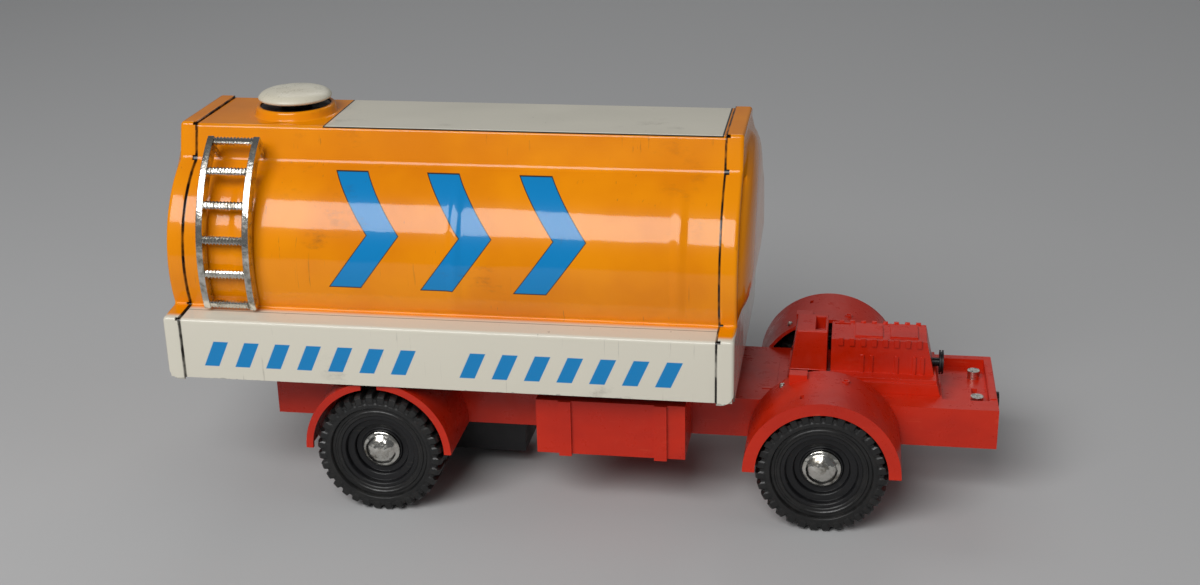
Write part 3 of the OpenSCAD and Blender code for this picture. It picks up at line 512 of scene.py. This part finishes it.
# end caps: a flange folded over the shell and a domed panel in the face; rim is the flange's
# outline as (depth, growth past the flange's own)
endCap = {"flange": 5.75, "grow": 0.6, "lowZ": 46.4, "inset": 2.5, "sheet": 0.5,
          "rim": ((5.75, 0.0), (1.4, 0.0), (0.9, 0.0), (0.42, -0.16), (0.1, -0.5), (0.0, -1.0)),
          "dome": 4.4, "rings": 7, "domeTop": 0.5, "creaseRound": 1.0, "notchDeep": 1.3,
          "cornerRound": 4.5, "cornerWide": 3.0, "cornerCuts": 5}


def addProfile(bm, x, grow, lowZ):
    # adds a whole outline to bm and gives back its edges
    oldVerts, oldEdges = set(bm.verts), set(bm.edges)
    halfProfile(bm, x, grow, lowZ)
    newVerts = [v for v in bm.verts if v not in oldVerts]
    newEdges = [e for e in bm.edges if e not in oldEdges]
    bmesh.ops.mirror(bm, geom=newVerts + newEdges, axis="Y", merge_dist=0.0)
    newVerts = [v for v in bm.verts if v not in oldVerts]
    bmesh.ops.remove_doubles(bm, verts=newVerts, dist=0.001)
    return [e for e in bm.edges if e not in oldEdges]


def endVerts(edges):
    # the two loose ends of a chain
    seen = {}
    for e in edges:
        for v in e.verts:
            seen[v] = seen.get(v, 0) + 1
    return [v for v, n in seen.items() if n == 1]


def makeCap(name, faceX, towards, replaced):
    bm = bmesh.new()
    c = endCap
    rings = [addProfile(bm, x, c["grow"] + growth, c["lowZ"]) for x, growth in c["rim"]]
    for low, high in zip(rings, rings[1:]):
        bmesh.ops.bridge_loops(bm, edges=low + high)
    faceLoop = rings[-1] + [bm.edges.new(endVerts(rings[-1]))]
    panel = addProfile(bm, 0.0, -c["inset"], None)
    panel.append(bm.edges.new(endVerts(panel)))
    bmesh.ops.triangle_fill(bm, use_beauty=True, use_dissolve=False, edges=faceLoop + panel)
    middle = Vector((0, 0, (tank["roofZ"] + tank["ledgeZ"]) / 2))
    ring, size, rise = panel, 1.0, 0.0
    for k in range(1, c["rings"]):
        turn = math.pi / 2 * k / (c["rings"] - 1)
        nextSize = c["domeTop"] + (1 - c["domeTop"]) * math.cos(turn)
        nextRise = -c["dome"] * math.sin(turn)
        grown = bmesh.ops.extrude_edge_only(bm, edges=ring)["geom"]
        ringVerts = [g for g in grown if isinstance(g, bmesh.types.BMVert)]
        ring = [g for g in grown if isinstance(g, bmesh.types.BMEdge)
                and g.verts[0] in ringVerts and g.verts[1] in ringVerts]
        bmesh.ops.scale(bm, vec=(1, nextSize / size, nextSize / size), verts=ringVerts,
                        space=Matrix.Translation(-middle))
        bmesh.ops.translate(bm, verts=ringVerts, vec=(nextRise - rise, 0, 0))
        size, rise = nextSize, nextRise
    bmesh.ops.triangle_fill(bm, use_beauty=True, use_dissolve=False, edges=ring)
    domeVerts = [v for v in bm.verts if v.co.x < -0.3]
    for _ in range(3):
        bmesh.ops.smooth_vert(bm, verts=domeVerts, factor=0.4, use_axis_x=False, use_axis_y=True,
                              use_axis_z=True)
    bmesh.ops.remove_doubles(bm, verts=bm.verts, dist=0.001)
    # creases of the flange are rounded, then notched so that the tin could fold
    creases = onEdges(bm, lambda m, e: m.x > 0.02 and abs(e.verts[0].co.x - e.verts[1].co.x) > 0.2
                      and creaseNear(m.y, m.z, 0.5, c["grow"]) and len(e.link_faces) == 2
                      and e.calc_face_angle(0.0) > math.radians(14))
    bmesh.ops.bevel(bm, geom=creases, offset=c["creaseRound"], offset_type="OFFSET", segments=4,
                    profile=0.5, affect="EDGES", clamp_overlap=True, material=-1)
    notchX = c["flange"] - c["notchDeep"]
    bmesh.ops.bisect_plane(bm, geom=bm.verts[:] + bm.edges[:] + bm.faces[:], dist=0.0001,
                           plane_co=(notchX, 0, 0), plane_no=(1, 0, 0))
    notches = [f for f in bm.faces if f.calc_center_median().x > notchX
               and creaseNear(f.calc_center_median().y, f.calc_center_median().z, 0.9, c["grow"])]
    bmesh.ops.delete(bm, geom=notches, context="FACES")
    # the lower corners are rounded, as seen from the side, but for the middle of the face
    cornerY = tank["skirtHalf"] - c["cornerWide"]
    cutAcross(bm, 1, (-cornerY, cornerY))
    corner = Vector((c["cornerRound"], 0, c["lowZ"] + c["cornerRound"]))
    for k in range(c["cornerCuts"]):
        turn = math.pi / 2 * (k + 0.5) / c["cornerCuts"]
        outwards = Vector((-math.cos(turn), 0, -math.sin(turn)))
        edgePoint = corner + outwards * c["cornerRound"]
        wing = [f for f in bm.faces if abs(f.calc_center_median().y) > cornerY
                and f.calc_center_median().z < tank["ledgeZ"] - 0.5]
        parts = wing + list({e for f in wing for e in f.edges}) + list({v for f in wing for v in f.verts})
        bmesh.ops.bisect_plane(bm, geom=parts, dist=0.0001, plane_co=edgePoint, plane_no=outwards)
        outside = [f for f in bm.faces if abs(f.calc_center_median().y) > cornerY
                   and (f.calc_center_median() - edgePoint).dot(outwards) > 0.001
                   and f.calc_center_median().z < tank["ledgeZ"] - 0.5]
        bmesh.ops.delete(bm, geom=outside, context="FACES")
    if towards < 0:
        bmesh.ops.scale(bm, vec=(-1, 1, 1), verts=bm.verts)
    bmesh.ops.translate(bm, vec=(faceX, 0, 0), verts=bm.verts)
    bmesh.ops.recalc_face_normals(bm, faces=bm.faces)
    finishPiece(name, bm, "ends", "truck", replaced, 40, c["sheet"])


makeCap("tankRearCapSkin", tank["rearX"] - endCap["grow"], 1, ["tank_rear_cap"])
makeCap("tankFrontCapSkin", tank["frontX"] + endCap["grow"], -1, ["tank_front_cap"])
print("end caps made")

# filler cap and neck
filler = {"neckTop": 132.3, "gap": 0.3, "radius": 12.75, "high": 3.6, "stem": 3.6, "neck": 5.55,
          "stemLow": 120.6, "neckLow": 123.4, "plate": 12.75, "plateZ": (128.35, 130.05)}


def makeFiller():
    bm = bmesh.new()
    r, base, stem = filler["radius"], filler["neckTop"] + filler["gap"], filler["stem"]
    stemLow = filler["stemLow"]
    top = base + filler["high"] - 0.02
    lathe(bm, [(0.0, top), (5.0, top - 0.12), (8.5, top - 0.42), (10.3, top - 0.8), (11.4, top - 1.25),
               (12.2, top - 1.85), (12.65, top - 2.45), (r, base + 0.85), (r - 0.12, base + 0.45),
               (r - 0.5, base + 0.1), (r - 1.1, base), (r - 1.5, base + 0.2), (r - 1.6, base + 1.0),
               (5.5, base + 1.1), (5.2, base + 0.2), (4.8, base), (stem, base),
               (stem, stemLow + 0.2), (stem - 0.3, stemLow), (0.0, stemLow)], 72)
    placed(bm, (tank["fillerX"], 0, 0))
    finishPiece("fillerCapMoulding", bm, "ivory", "filler_lid", ["filler_cap"], 42)
    bm = bmesh.new()
    neck, bore, top = filler["neck"], filler["stem"] + 0.1, filler["neckTop"]
    plate, (low, high), neckLow = filler["plate"], filler["plateZ"], filler["neckLow"]
    lathe(bm, [(bore, neckLow), (neck, neckLow), (neck, low), (plate, low), (plate, high), (neck, high),
               (neck, top - 0.4), (neck - 0.35, top), (bore + 0.3, top), (bore, top - 0.3),
               (bore, neckLow)], 56, 0.1)
    placed(bm, (tank["fillerX"], 0, 0))
    finishPiece("fillerNeckMoulding", bm, "black", "truck", ["filler_neck"])


makeFiller()

# ladder; pegs are (angle, reach)
ladder = {"centre": (-3.6, 84.8), "inner": 46.4, "depth": 4.2, "rail": 2.4, "lowAngle": -17.0,
          "highAngle": 54.0, "rearX": -126.0, "wide": 18.5, "rungs": 6, "rungWide": 2.8, "rungDeep": 1.6,
          "ribs": 12, "edgeRound": 0.35, "pegR": 0.9, "pegs": ((-13.0, 1.9), (52.0, 4.4))}


def makeLadder():
    bm = bmesh.new()
    c = ladder
    outer = c["inner"] + c["depth"]
    centre = (0, c["centre"][0], c["centre"][1])

    def polar(x, radius, degrees):
        a = math.radians(degrees)
        return Vector((x, c["centre"][0] + radius * math.cos(a), c["centre"][1] + radius * math.sin(a)))

    for x in (c["rearX"], c["rearX"] + c["wide"] - c["rail"]):
        corners = [(x, c["inner"]), (x + c["rail"], c["inner"]), (x + c["rail"], outer), (x, outer)]
        face = bm.faces.new([bm.verts.new(polar(px, pr, c["lowAngle"])) for px, pr in corners])
        bmesh.ops.spin(bm, geom=[face] + list(face.edges) + list(face.verts), cent=centre, axis=(1, 0, 0),
                       angle=math.radians(c["highAngle"] - c["lowAngle"]), steps=36, use_merge=False)
    bmesh.ops.remove_doubles(bm, verts=bm.verts, dist=0.001)
    bmesh.ops.recalc_face_normals(bm, faces=bm.faces)
    softenEdges(bm, c["edgeRound"], 40)
    half = math.degrees(c["rungWide"] / 2 / outer)
    step = (c["highAngle"] - c["lowAngle"] - 2 * half) / (c["rungs"] - 1)
    span = c["wide"] - 2 * c["rail"] + 0.8
    for i in range(c["rungs"]):
        angle = c["lowAngle"] + half + i * step
        x = c["rearX"] + c["rail"] - 0.4
        rim = [(outer - 0.25 - c["rungDeep"], -half), (outer - 0.65, -half), (outer - 0.25, -half * 0.55),
               (outer - 0.25, half * 0.55), (outer - 0.65, half), (outer - 0.25 - c["rungDeep"], half)]
        face = bm.faces.new([bm.verts.new(polar(x, pr, angle + pa)) for pr, pa in rim])
        axis = polar(0, outer - c["rungDeep"], angle)
        small = False
        # the grip: a rung's section shrinks and swells along it
        for k in range(2 * c["ribs"]):
            for part, scale in ((0.28, 1.0), (0.22, 0.8 if not small else 1.25)):
                grown = bmesh.ops.extrude_face_region(bm, geom=[face])["geom"]
                bmesh.ops.delete(bm, geom=[face], context="FACES_ONLY")
                face = [g for g in grown if isinstance(g, bmesh.types.BMFace)][0]
                bmesh.ops.translate(bm, verts=face.verts, vec=(span / c["ribs"] * part, 0, 0))
                bmesh.ops.scale(bm, vec=(1, scale, scale), verts=face.verts,
                                space=Matrix.Translation(-axis))
            small = not small
    for x in (c["rearX"] + c["rail"] / 2, c["rearX"] + c["wide"] - c["rail"] / 2):
        for angle, reach in c["pegs"]:
            peg = bmesh.ops.create_cone(bm, cap_ends=True, segments=20, radius1=c["pegR"],
                                        radius2=c["pegR"], depth=reach + 0.5)
            bmesh.ops.rotate(bm, verts=peg["verts"], cent=(0, 0, 0),
                             matrix=Matrix.Rotation(math.radians(angle - 90), 3, "X"))
            bmesh.ops.translate(bm, verts=peg["verts"], vec=polar(x, c["inner"] + (0.5 - reach) / 2, angle))
    bmesh.ops.scale(bm, vec=(1, -1, 1), verts=bm.verts)
    bmesh.ops.recalc_face_normals(bm, faces=bm.faces)
    finishPiece("ladderChrome", bm, "chrome", "truck", ["ladder"], 30)


makeLadder()
print("filler and ladder made")

# wheels; every outline is (radius, height) with the outer face at nought
wheel = {"z": 21.9, "frontX": 83.5, "rearX": -66.2, "frontFace": 48.2, "rearFace": 51.5}
sides = {"right": ("-Y", -1), "left": ("Y", 1)}
tyre = {"lugs": 32, "perLug": 8, "wide": 16.5, "treadR": 21.9, "baseFromR": 20.0, "lugFromR": 18.7,
        "lugHalf": 0.26, "edgeDepth": 0.5, "edgeDrop": 0.9, "shoulderDepth": 1.2, "shoulderDrop": 0.25,
        "sideRise": 0.1, "sideSink": 0.25}
hubCap = {"dent": 0.16, "dentsPerMm": 0.9, "dentedAbove": -3.6}


def makeTyre(name, x, faceY, facing, body, replaced):
    bm = bmesh.new()
    t = tyre
    w = t["wide"]
    # outer half of the section, its face at nought; the inner half is its mirror
    outerHalf = [(13.5, -2.6), (13.5, -1.5), (13.8, -1.2), (14.6, -1.2), (14.9, -0.95), (15.3, -0.95),
                 (15.6, -1.2), (16.5, -1.2), (16.75, -0.35), (17.1, -0.02), (18.0, 0.0), (18.35, -0.2),
                 (18.8, -0.2), (19.3, -0.1), (20.1, -0.3), (20.45, -1.0), (20.5, -1.9), (20.5, -7.6),
                 (20.3, -8.25)]
    innerHalf = [(r, -w - h) for r, h in reversed(outerHalf[:-1])]
    lathe(bm, outerHalf + innerHalf + [outerHalf[0]], t["lugs"] * t["perLug"])
    pitch = math.tau / t["lugs"]
    for v in bm.verts:
        radius = math.hypot(v.co.x, v.co.y)
        outside = v.co.z > -w / 2
        depth = -v.co.z if outside else w + v.co.z
        if radius < t["lugFromR"] or abs(depth - w / 2) < 0.2:
            continue
        phase = (math.atan2(v.co.y, v.co.x) / pitch + (0.0 if outside else 0.5)) % 1.0
        lug = 1.0 if abs(phase - 0.5) < t["lugHalf"] else 0.0
        shoulder = depth < t["shoulderDepth"]
        if radius > t["baseFromR"]:
            drop = t["edgeDrop"] if depth < t["edgeDepth"] else t["shoulderDrop"] if shoulder else 0.0
            grow = t["treadR"] - radius - drop
            v.co.x *= 1 + lug * grow / radius
            v.co.y *= 1 + lug * grow / radius
        if shoulder:
            v.co.z += (1 if outside else -1) * (t["sideRise"] * lug - t["sideSink"] * (1 - lug))
    placed(bm, (x, faceY, wheel["z"]), facing)
    finishPiece(name, bm, "rubber", body, replaced, 32)


def makeWheelCore(name, x, faceY, facing, body, replaced):
    bm = bmesh.new()
    lathe(bm, [(2.0, -14.5), (9.0, -14.5), (9.4, -14.2), (13.2, -14.2), (13.5, -14.5), (13.5, -1.6),
               (12.3, -1.5), (12.0, -1.9), (11.7, -3.3), (9.6, -3.5), (9.3, -3.9), (9.1, -5.0), (7.6, -5.3),
               (7.25, -5.2), (7.0, -4.4), (6.5, -4.4), (6.38, -4.8), (6.38, -6.0), (2.0, -6.0), (2.0, -14.5)],
          96, 0.12)
    placed(bm, (x, faceY, wheel["z"]), facing)
    finishPiece(name, bm, "black", body, replaced)


def makeHubCap(name, x, faceY, facing, body, replaced):
    bm = bmesh.new()
    lathe(bm, [(2.0, -6.0), (6.35, -6.0), (6.35, -3.75), (6.1, -3.4), (5.5, -3.2), (5.15, -3.05), (4.9, -2.7),
               (4.2, -2.1), (3.3, -1.6), (2.9, -1.55), (2.6, -1.35), (1.6, -1.1), (0.0, -1.02)], 64)
    # dented by years of knocks
    dent = hubCap["dent"]
    for v in bm.verts:
        if v.co.z > hubCap["dentedAbove"] and math.hypot(v.co.x, v.co.y) > 0.3:
            v.co.z -= dent + dent * noise.noise(v.co * hubCap["dentsPerMm"] + Vector((x, faceY, 0)))
    bmesh.ops.recalc_face_normals(bm, faces=bm.faces)
    placed(bm, (x, faceY, wheel["z"]), facing)
    finishPiece(name, bm, "chrome", body, replaced, 40)


for end in ("Front", "Rear"):
    x, faceY = wheel[end.lower() + "X"], wheel[end.lower() + "Face"]
    for side, (facing, sign) in sides.items():
        body = end.lower() + "_wheels"
        tail = end.lower() + "_" + side
        label = end + side.capitalize()
        makeTyre("tyre" + label, x, sign * faceY, facing, body, ["tyre_" + tail])
        makeWheelCore("wheelDish" + label, x, sign * faceY, facing, body, ["wheel_" + tail])
        makeHubCap("hubCap" + label, x, sign * faceY, facing, body, ["hub_cap_" + tail])
print("wheels made")

# red mouldings: the CAD shapes with their edges rounded as a mould leaves them
mouldings = {
    "chassisMoulding": ("chassis_frame", 0.4), "saddleMoulding": ("saddle_posts", 0.3),
    "fenderRearRight": ("rear_fender_right", 0.35), "fenderRearLeft": ("rear_fender_left", 0.35),
    "fenderFrontRight": ("front_fender_right", 0.35), "fenderFrontLeft": ("front_fender_left", 0.35),
    "toolboxMouldingRight": ("toolbox_right", 0.4), "toolboxMouldingLeft": ("toolbox_left", 0.4),
    "engineMoulding": ("engine_block", 0.3), "gearboxMoulding": ("gearbox_housing", 0.4),
}


def makeMoulding(name, node, width):
    bm = bmesh.new()
    bm.from_mesh(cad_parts[node].data)
    bmesh.ops.scale(bm, vec=(1 / mm,) * 3, verts=bm.verts)
    bmesh.ops.remove_doubles(bm, verts=bm.verts, dist=0.004)
    bmesh.ops.dissolve_limit(bm, angle_limit=math.radians(0.8), verts=bm.verts[:], edges=bm.edges[:],
                             use_dissolve_boundaries=False)
    softenEdges(bm, width, 32)
    bmesh.ops.recalc_face_normals(bm, faces=bm.faces)
    finishPiece(name, bm, "red", "truck", [node], 30)


for name, (node, width) in mouldings.items():
    makeMoulding(name, node, width)
print("mouldings made")

# nodes whose CAD shape is right get their finish
finishes = {
    "tin": ("tank_floor", "motor_plate_right", "motor_plate_left"),
    "black": ("motor_cover", "fan_pulley"),
    "blackened": ("front_screw",),
    "steel": ("tank_screws", "front_axle", "rear_axle", "motor_spacers", "idler_shaft",
              "flywheel_shaft"),
    "rivet": ("cab_studs", "bracket_rivets"),
    "nylon": ("axle_gear", "idler_gear"),
    "zinc": ("flywheel",),
}
for finish, names in finishes.items():
    for name in names:
        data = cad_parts[name].data
        if not data.materials:
            data.materials.append(None)
        for place in range(len(data.materials)):
            data.materials[place] = materials[finish]

# floor, light and camera, in metres, degrees and watts
stage = {"floor": "#BDBDBD", "world": "#C9CCD0", "worldStrength": 0.2, "floorHalf": 6.0}
view = {"place": (0.09098, -0.52719, 0.27081), "azimuth": 9.48, "elevation": 21.15, "roll": -1.18,
        "lens": 48.49, "sensor": 36.0}


def makeStage():
    bm = bmesh.new()
    bmesh.ops.create_grid(bm, x_segments=1, y_segments=1, size=stage["floorHalf"])
    mesh = bpy.data.meshes.new("studioFloor")
    bm.to_mesh(mesh)
    bm.free()
    floor = bpy.data.objects.new("studioFloor", mesh)
    bpy.context.collection.objects.link(floor)
    paint = startMaterial("paintedFloor", Roughness=0.7, Base_Color=hexLinear(stage["floor"]))[0]
    mesh.materials.append(paint)
    world = bpy.data.worlds.new("studio")
    world.use_nodes = True
    sky = world.node_tree.nodes["Background"]
    sky.inputs["Color"].default_value = hexLinear(stage["world"])
    sky.inputs["Strength"].default_value = stage["worldStrength"]
    bpy.context.scene.world = world


def addSoftbox(name, azimuth, elevation, distance, size, watts, mirrored=True):
    # aimed at the middle of the truck from an azimuth and elevation in degrees
    a, e = math.radians(azimuth), math.radians(elevation)
    target = Vector((0, 0, 0.07))
    away = Vector((math.sin(a) * math.cos(e), -math.cos(a) * math.cos(e), math.sin(e)))
    lamp = bpy.data.lights.new(name, "AREA")
    lamp.shape = "RECTANGLE"
    lamp.size, lamp.size_y = size
    lamp.energy = watts
    box = bpy.data.objects.new(name, lamp)
    turn = away.to_track_quat("Z", "Y").to_matrix().to_4x4()
    box.matrix_world = Matrix.Translation(target + away * distance) @ turn
    box.visible_glossy = mirrored
    bpy.context.collection.objects.link(box)


def makeCamera():
    lens = bpy.data.cameras.new("camera")
    lens.lens, lens.sensor_width = view["lens"], view["sensor"]
    camera = bpy.data.objects.new("camera", lens)
    azimuth, elevation, roll = (math.radians(view[key]) for key in ("azimuth", "elevation", "roll"))
    back = Vector((math.sin(azimuth) * math.cos(elevation), -math.cos(azimuth) * math.cos(elevation),
                   math.sin(elevation)))
    flatRight = (-back).cross(Vector((0, 0, 1))).normalized()
    flatUp = flatRight.cross(-back)
    right = flatRight * math.cos(roll) + flatUp * math.sin(roll)
    up = -flatRight * math.sin(roll) + flatUp * math.cos(roll)
    turn = Matrix((right, up, back)).transposed().to_4x4()
    camera.matrix_world = Matrix.Translation(view["place"]) @ turn
    bpy.context.collection.objects.link(camera)
    bpy.context.scene.camera = camera


makeStage()
addSoftbox("keySoftbox", -20, 40, 1.3, (0.95, 0.62), 14)
addSoftbox("fillSoftbox", 75, 30, 1.8, (1.0, 0.8), 2, False)
addSoftbox("backSoftbox", 185, 40, 1.8, (1.4, 0.6), 4)
makeCamera()
bpy.context.scene.view_settings.view_transform = "Standard"
print("stage, light and camera made")
